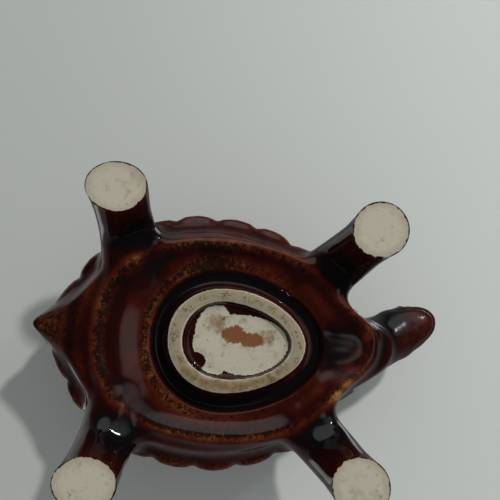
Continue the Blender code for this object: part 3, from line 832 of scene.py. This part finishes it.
def bare_and_marked(zone):
    """Millimetres inside the wiped band and floor of the foot ring, and marks in that clay."""
    points = zone.points
    face = RING_FACE / MM
    level = face + RECESS_DEPTH / MM
    from_face = np.abs(zone.rise - face)
    from_level = np.abs(zone.rise - level)
    on_face = zone.near_ring & (from_face < 0.6)
    on_floor = zone.near_ring & (from_level < 0.6)

    inside = RING.grown(-RING_BAND).outside(points) / MM
    band = np.minimum(np.minimum(-zone.ring, inside) + 0.3, 0.45 - from_face)
    floor = np.max([inside_oval(points, *oval) for oval in WIPED_OVALS], axis=0)
    floor = np.minimum(floor, -inside_oval(points, *GLAZE_DROP))
    wiped_floor = zone.near_ring & (from_level < 0.4)
    stain = np.max([inside_oval(points, *oval) for oval in STAIN_OVALS], axis=0)
    centre_line = np.abs(zone.ring + RING_BAND / MM / 2)
    ochre_band = np.clip(1.25 - 0.7 * centre_line, 0.3, 1.0) * (0.20 + 0.70 * soft_step(zone.side, 1.0, 9.5))
    return {
        "band": np.where(zone.near_ring, band, FAR_FROM_BARE),
        "floor": np.where(wiped_floor, floor, np.where(zone.near_ring, -1.0, FAR_FROM_BARE)),
        "stain": np.where(on_floor, stain, FAR_FROM_STAIN),
        "ring_dirt": np.where(on_face, 1.5 - centre_line, 0.0),
        "ochre": on_floor * patches(points, OCHRE_PATCHES) + on_face * ochre_band,
    }


def ground_sole(zone, pairs):
    """Millimetres inside the ground soles, whose middle points have many neighbours."""
    sole = -zone.rise
    many = np.bincount(pairs.ravel(), minlength=len(sole)) > 20
    sole[(zone.rise < ON_GROUND) & many] = FOOT_RADIUS / MM
    return sole


def map_glaze(target):
    """Stores on each point what the glaze and the bare clay do there."""
    mesh = target.data
    points = read_points(mesh)
    normals = read_normals(mesh)
    pairs = np.empty(len(mesh.edges) * 2, np.int32)
    mesh.edges.foreach_get("vertices", pairs)
    pairs = pairs.reshape(-1, 2)
    zone = Zones(points, normals)
    bulge = -((settled(points, pairs, SETTLED_FINE) - points) * normals).sum(axis=1) / MM
    hollow = ((settled(points, pairs, SETTLED_BROAD) - points) * normals).sum(axis=1) / MM
    for bend in (bulge, hollow):
        bend[zone.rise < ON_GROUND] = 0.0
    looks = {
        "glaze": glaze_film_and_painted_light(zone, bulge, hollow),
        "dull": glaze_dullness(zone),
        "granular": glaze_grain(zone),
        "sole": ground_sole(zone, pairs),
    }
    for name, values in (looks | bare_and_marked(zone)).items():
        layer = mesh.attributes.new(name, "FLOAT", "POINT")
        layer.data.foreach_set("value", np.asarray(values, np.float32))
    return target


def centre_on_solid(target):
    """Puts the skin's box in the middle of the solid's box, on the ground."""
    points = read_points(target.data)
    low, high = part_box(FIGURINE)
    middle = (points.min(axis=0) + points.max(axis=0)) / 2
    points[:, 0] += (low.x + high.x) / 2 - middle[0]
    points[:, 1] += (low.y + high.y) / 2 - middle[1]
    target.data.vertices.foreach_set("co", points.ravel())
    target.data.update()


def figurine():
    """The whole casting as one closed skin, with what the glaze does stored on it."""
    solid = join([body(), ring_blank(), *legs(), neck(), skull()], "solid")
    solid = flow_together(solid)
    solid = cut(solid, belly_cutter())
    eyes = [ball(f"eye_{k}", middle, EYE_RADIUS) for k, middle in enumerate(eye_middles())]
    solid = join([solid, *eyes], "solid")
    solid = smoothed(remeshed(solid, FINE_VOXEL), 3)
    solid = smoothed(engrave(solid), 1)
    return map_glaze(stand_on_ground(solid))


skin = figurine()
centre_on_solid(skin)
skin.name = "glazed_turtle"
skin.data.shade_smooth()
skin.data.set_sharp_from_angle(angle=CREASE_ANGLE)


class Nodes:
    """Short ways to add and link the nodes of one tree."""

    def __init__(self, tree):
        self.tree = tree
        tree.nodes.clear()

    def add(self, kind, inputs=(), **settings):
        node = self.tree.nodes.new(kind)
        for name, value in settings.items():
            setattr(node, name, value)
        for key, value in dict(inputs).items():
            self.give(node.inputs[key], value)
        return node

    def give(self, socket, value):
        if isinstance(value, bpy.types.NodeSocket):
            self.tree.links.new(value, socket)
        elif isinstance(value, tuple) and len(value) == 3 and socket.type == "RGBA":
            socket.default_value = (*value, 1.0)
        else:
            socket.default_value = value

    def math(self, operation, a, b=0.0):
        return self.add("ShaderNodeMath", {0: a, 1: b}, operation=operation).outputs[0]

    def times(self, a, b):
        return self.math("MULTIPLY", a, b)

    def total(self, *values):
        result = values[0]
        for value in values[1:]:
            result = self.math("ADD", result, value)
        return result

    def step(self, value, low, high, out_low=0.0, out_high=1.0):
        """Runs smoothly from one value to another while the input crosses a range."""
        span = {"Value": value, "From Min": low, "From Max": high, "To Min": out_low, "To Max": out_high}
        return self.add("ShaderNodeMapRange", span, interpolation_type="SMOOTHSTEP").outputs[0]

    def attribute(self, name):
        return self.add("ShaderNodeAttribute", attribute_name=name).outputs["Fac"]

    def place(self):
        return self.add("ShaderNodeTexCoord").outputs["Object"]

    def noise(self, size, detail=2.0, rough=0.5, warp=0.0):
        """Noise with features of about this size in metres, running round zero."""
        look = {"Vector": self.place(), "Scale": 1 / size, "Detail": detail}
        look |= {"Roughness": rough, "Distortion": warp}
        return self.math("SUBTRACT", self.add("ShaderNodeTexNoise", look).outputs["Fac"], 0.5)

    def mix(self, share, a, b):
        made = self.add("ShaderNodeMix", {"Factor": share}, data_type="RGBA")
        self.give(made.inputs[6], a)
        self.give(made.inputs[7], b)
        return made.outputs[2]

    def ramp(self, value, stops):
        made = self.add("ShaderNodeValToRGB", {"Fac": value})
        line = made.color_ramp.elements
        while len(line) < len(stops):
            line.new(0.5)
        for knot, (at, colour) in zip(line, stops):
            knot.position = at
            knot.color = (*colour, 1.0)
        return made.outputs["Color"]

    def mix_shaders(self, share, a, b):
        return self.add("ShaderNodeMixShader", {0: share, 1: a.outputs[0], 2: b.outputs[0]})


def new_material(name):
    made = bpy.data.materials.new(name)
    made.use_nodes = True
    return made, Nodes(made.node_tree)


# The glaze's colour from its thinnest to its thickest, and the colours of the bare clay
GLAZE = [
    (0.00, (0.210, 0.095, 0.028)),
    (0.15, (0.108, 0.033, 0.009)),
    (0.29, (0.055, 0.0108, 0.0042)),
    (0.42, (0.036, 0.0048, 0.0026)),
    (0.58, (0.0155, 0.0024, 0.0018)),
    (0.76, (0.0060, 0.0024, 0.0022)),
    (0.95, (0.0034, 0.0028, 0.0030)),
]
GRAIN = (0.0055, 0.0025, 0.0016)
CLAY = (0.365, 0.330, 0.255)
CLAY_SHADE = (0.27, 0.225, 0.16)
CLAY_SPECK = (0.070, 0.052, 0.036)
RING_CLAY = (0.195, 0.155, 0.088)
RUST_STAIN = (0.150, 0.046, 0.011)
OCHRE = (0.135, 0.074, 0.022)
GLAZE_IOR = 1.5
GLAZE_ROUGHNESS = 0.05
DULLNESS = 0.16
CLAY_ROUGHNESS = 0.8
ORANGE_PEEL_DEPTH = 0.06 * MM
CLAY_GRAIN_DEPTH = 0.06 * MM
GLAZE_THICKNESS = 0.10 * MM


def glaze_and_clay():
    """Brown glaze over the casting, and cream clay where it was wiped or ground off."""
    made, n = new_material("brown_glaze")
    sole = n.attribute("sole")
    band = n.attribute("band")
    floor = n.attribute("floor")
    granular = n.attribute("granular")

    cloud = n.noise(8 * MM, 3.0, 0.55, 0.4)
    mottle = n.noise(2.4 * MM, 4.0, 0.6, 0.6)
    grain = n.noise(0.9 * MM, 3.0, 0.65)
    fleck = n.noise(0.5 * MM, 2.0, 0.6)

    # The glaze map also carries painted shade at the collar and a painted highlight on the throat
    thick = n.total(
        n.attribute("glaze"),
        n.times(cloud, 0.42),
        n.times(mottle, n.total(0.20, n.times(granular, 0.35))),
        n.times(grain, n.total(0.06, n.times(granular, 0.35))),
    )
    colour = n.ramp(thick, GLAZE)
    crumbs = n.total(n.times(grain, 0.9), n.times(fleck, 0.5))
    crumbs = n.step(n.total(crumbs, n.times(granular, 0.40)), 0.17, 0.30)
    colour = n.mix(n.times(crumbs, 0.85), colour, GRAIN)

    edge = n.total(n.times(mottle, 1.2), n.times(grain, 0.8))
    bare_sole = n.step(n.total(sole, n.times(edge, 0.9)), 0.12, 0.34)
    bare_band = n.step(n.total(band, n.times(edge, 0.35)), 0.02, 0.14)
    bare_floor = n.step(n.total(floor, n.times(edge, 0.9)), 0.0, 0.12)
    bare = n.math("MAXIMUM", bare_sole, n.math("MAXIMUM", bare_band, bare_floor))

    shade = n.step(n.total(n.times(cloud, 0.8), mottle), 0.0, 0.35)
    clay = n.mix(n.times(shade, 0.85), CLAY, CLAY_SHADE)
    worn = n.attribute("ring_dirt")
    clay = n.mix(n.step(worn, 0.0, 0.35, 0.0, 0.8), clay, RING_CLAY)
    tinge = n.step(n.total(n.attribute("ochre"), n.times(edge, 1.3)), 0.15, 1.0)
    clay = n.mix(n.times(tinge, 0.8), clay, OCHRE)
    rust = n.step(n.total(n.attribute("stain"), n.times(edge, 1.6), fleck), -0.1, 0.45)
    clay = n.mix(n.times(rust, 0.97), clay, RUST_STAIN)
    handled = n.step(n.total(sole, n.times(mottle, 5.0)), 0.2, 2.2, 0.6, 0.0)
    clay = n.mix(n.times(handled, bare_sole), clay, CLAY_SHADE)
    dirt = n.total(fleck, n.times(mottle, 0.7), n.times(worn, 0.11))
    clay = n.mix(n.times(n.step(dirt, 0.19, 0.26), 0.8), clay, CLAY_SPECK)
    colour = n.mix(bare, colour, clay)

    dull = n.times(n.total(n.attribute("dull"), n.times(granular, 0.7)), DULLNESS)
    clay_rough = n.step(bare, 0.0, 1.0, GLAZE_ROUGHNESS, CLAY_ROUGHNESS)
    rough = n.math("MAXIMUM", clay_rough, n.total(GLAZE_ROUGHNESS, dull))
    orange_peel = n.times(n.noise(5 * MM, 1.0), ORANGE_PEEL_DEPTH)
    clay_grain = n.times(n.times(fleck, bare), CLAY_GRAIN_DEPTH)
    height = n.total(orange_peel, clay_grain, n.times(bare, -GLAZE_THICKNESS))
    bump = n.add("ShaderNodeBump", {"Height": height, "Distance": 1.0, "Strength": 1.0})
    shader = n.add(
        "ShaderNodeBsdfPrincipled",
        {"Base Color": colour, "Roughness": rough, "Normal": bump.outputs["Normal"], "IOR": GLAZE_IOR},
    )
    n.add("ShaderNodeOutputMaterial", {"Surface": shader.outputs[0]})
    return made


skin.data.materials.clear()
skin.data.materials.append(glaze_and_clay())
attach(skin, "root")
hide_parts(FIGURINE)

# The table lies on the shell's top, as the figurine rests on its back in the photo
TABLE_HEIGHT = CAD_BOX[1][2]
TABLE_SIZE = 20.0
TABLE = (0.455, 0.465, 0.435)
# Painted light falloff on the table: lighter towards the head, darker towards the tail
TABLE_PAINTED_LIGHT_NEAR_HEAD = tuple(1.08 * part for part in TABLE)
TABLE_PAINTED_SHADE_NEAR_TAIL = tuple(0.84 * part for part in TABLE)
TABLE_PAINTED_FALLOFF_SPAN = 95 * MM
TABLE_CLOUDS = 60 * MM
TABLE_ROUGHNESS = 0.6
TABLE_IOR = 1.4
SHOWN_SLANT = 0.40
HIDDEN_SLANT = 0.55

# Bright patches of sky: a direction, how many degrees they reach, their blur and brightness
WINDOWS = [
    ((-0.05, -0.37, -0.93), 8.5, 0.012, 0.55),
    ((-0.50, -0.53, -0.68), 18.5, 0.05, 0.48),
    ((-0.86, 0.08, -0.50), 30.0, 0.06, 0.70),
    ((-0.3, 0.75, 0.6), 24.0, 0.04, 0.4),
    ((-0.50, -0.50, 0.70), 13.0, 0.015, 1.4),
    ((0.25, 0.62, 0.74), 9.0, 0.012, 0.9),
]


def plane(name, height, seen_from_below):
    """A wide surface that only the camera sees, and only from one side, with a painted light falloff: lighter
    towards the head, darker towards the tail.

    The one seen from below shows only where the view is steep, so it doesn't hang over the
    figurine like a ceiling in low views.
    """
    half = TABLE_SIZE / 2
    corners = [(-half, -half, height), (half, -half, height), (half, half, height), (-half, half, height)]
    mesh = bpy.data.meshes.new(name)
    mesh.from_pydata(corners, [], [(3, 2, 1, 0) if seen_from_below else (0, 1, 2, 3)])
    made, n = new_material(name)
    along = n.add("ShaderNodeSeparateXYZ", {0: n.place()}).outputs["Y"]
    # Painted light falloff along Y, with faint clouds of the table's own tone
    far = n.total(n.step(along, -TABLE_PAINTED_FALLOFF_SPAN, TABLE_PAINTED_FALLOFF_SPAN), n.times(n.noise(TABLE_CLOUDS), 0.10))
    colour = n.mix(far, TABLE_PAINTED_LIGHT_NEAR_HEAD, TABLE_PAINTED_SHADE_NEAR_TAIL)
    look = {"Base Color": colour, "Roughness": TABLE_ROUGHNESS, "IOR": TABLE_IOR}
    matt = n.add("ShaderNodeBsdfPrincipled", look)
    clear = n.add("ShaderNodeBsdfTransparent")
    front = n.math("SUBTRACT", 1.0, n.add("ShaderNodeNewGeometry").outputs["Backfacing"])
    camera_ray = n.add("ShaderNodeLightPath").outputs["Is Camera Ray"]
    show = n.times(front, camera_ray)
    if seen_from_below:
        slant = n.add("ShaderNodeLayerWeight", {"Blend": 0.5}).outputs["Facing"]
        show = n.times(show, n.step(slant, SHOWN_SLANT, HIDDEN_SLANT, 1.0, 0.0))
    shown = n.mix_shaders(show, clear, matt)
    n.add("ShaderNodeOutputMaterial", {"Surface": shown.outputs[0]})
    mesh.materials.append(made)
    return new_object(name, mesh)


plane("table", TABLE_HEIGHT, True)
plane("floor", 0.0, False)

SKY_COLOUR = (0.95, 1.0, 1.02)
SKY_STRENGTH = 0.50
BACKDROP_STRENGTH = 0.70
MIRRORED_COLOUR = (0.95, 0.98, 1.0)
MIRRORED_BELOW = 0.012
MIRRORED_ABOVE = 0.17


def world():
    """Even light on all sides, with bright patches that only show as reflections."""
    made = bpy.data.worlds.new("studio")
    bpy.context.scene.world = made
    made.use_nodes = True
    n = Nodes(made.node_tree)
    where = n.add("ShaderNodeTexCoord").outputs["Generated"]
    up = n.add("ShaderNodeSeparateXYZ", {0: where}).outputs["Z"]
    mirrored = n.step(up, -0.15, 0.5, MIRRORED_BELOW, MIRRORED_ABOVE)
    for direction, reach, blur, strength in WINDOWS:
        rays = {0: where, 1: Vector(direction).normalized()}
        facing = n.add("ShaderNodeVectorMath", rays, operation="DOT_PRODUCT")
        rim = math.cos(math.radians(reach))
        glow = n.step(facing.outputs["Value"], rim - blur, rim + blur, 0.0, strength)
        mirrored = n.math("MAXIMUM", mirrored, glow)
    path = n.add("ShaderNodeLightPath")
    soft = n.add("ShaderNodeBackground", {"Color": SKY_COLOUR, "Strength": SKY_STRENGTH})
    seen = n.add("ShaderNodeBackground", {"Color": TABLE, "Strength": BACKDROP_STRENGTH})
    shiny = n.add("ShaderNodeBackground", {"Color": MIRRORED_COLOUR, "Strength": mirrored})
    lit = n.mix_shaders(path.outputs["Is Glossy Ray"], soft, shiny)
    shown = n.mix_shaders(path.outputs["Is Camera Ray"], lit, seen)
    n.add("ShaderNodeOutputWorld", {"Surface": shown.outputs[0]})


def lamp(name, direction, size, watts, distance=0.9, glossy=True, diffuse=1.0, colour=(1, 1, 1)):
    """A lamp that faces the figurine from a direction, size being its two sides."""
    data = bpy.data.lights.new(name, "AREA")
    data.shape = "RECTANGLE"
    data.size, data.size_y = size
    data.energy = watts
    data.color = colour
    data.diffuse_factor = diffuse
    made = bpy.data.objects.new(name, data)
    bpy.context.scene.collection.objects.link(made)
    away = Vector(direction).normalized()
    made.location = away * distance
    made.rotation_euler = away.to_track_quat("Z", "Y").to_euler()
    made.visible_glossy = glossy


# Where the lamps stand, seen from the figurine
KEY_LIGHT = (-0.5454, -0.3661, -0.754)
WINDOW_LIGHT = (-0.652, -0.535, -0.535)
DOT_LIGHT = (-0.70, -0.45, -0.555)
DOME_LIGHT = (-0.5, -0.4, 0.77)
DOME_REAR_LIGHT = (0.6, 0.7, 0.4)


def lighting():
    """The hard key, two small highlights and two soft lamps for the dome."""
    world()
    lamp("key", KEY_LIGHT, (0.06, 0.06), 8.9, distance=1.19, glossy=False)
    lamp("window", WINDOW_LIGHT, (0.045, 0.065), 0.8, diffuse=0.2, colour=(0.85, 0.93, 1.0))
    lamp("dot", DOT_LIGHT, (0.020, 0.020), 0.25, diffuse=0.2)
    lamp("above", DOME_LIGHT, (0.5, 0.5), 6.0, glossy=False)
    lamp("above_rear", DOME_REAR_LIGHT, (0.6, 0.4), 2.0, glossy=False)


lighting()

# The camera, solved from the photo's 500 pixels
FOCAL_PIXELS = 700
FRAME_PIXELS = 500
CAMERA_DEPTH = 156 * MM
CAMERA_BEHIND = 0.15 * MM
AIM_PIXEL = (237, 343)
CAMERA_ROLL = math.radians(5.2)


def place_camera():
    """Looks straight up at the belly, with the point above the camera low in the frame."""
    data = bpy.data.cameras.new("camera")
    data.sensor_width = 36
    data.lens = FOCAL_PIXELS * data.sensor_width / FRAME_PIXELS
    data.clip_start = 1 * MM
    made = bpy.data.objects.new("camera", data)
    bpy.context.scene.collection.objects.link(made)
    half = FRAME_PIXELS / 2
    up = np.array([AIM_PIXEL[0] - half, AIM_PIXEL[1] - half, FOCAL_PIXELS])
    up /= np.linalg.norm(up)
    head = np.array([math.cos(CAMERA_ROLL), math.sin(CAMERA_ROLL), 0.0])
    head -= up * (head @ up)
    head /= np.linalg.norm(head)
    turned = np.stack([np.cross(up, head), -head, up], axis=1)
    pose = Matrix.Identity(4)
    for axis in range(3):
        pose[axis][0] = turned[0, axis]
        pose[axis][1] = -turned[1, axis]
        pose[axis][2] = -turned[2, axis]
    pose.translation = (0.0, CAMERA_BEHIND, -CAMERA_DEPTH)
    made.matrix_world = pose
    bpy.context.scene.camera = made


place_camera()
bpy.context.scene.view_settings.view_transform = "Standard"
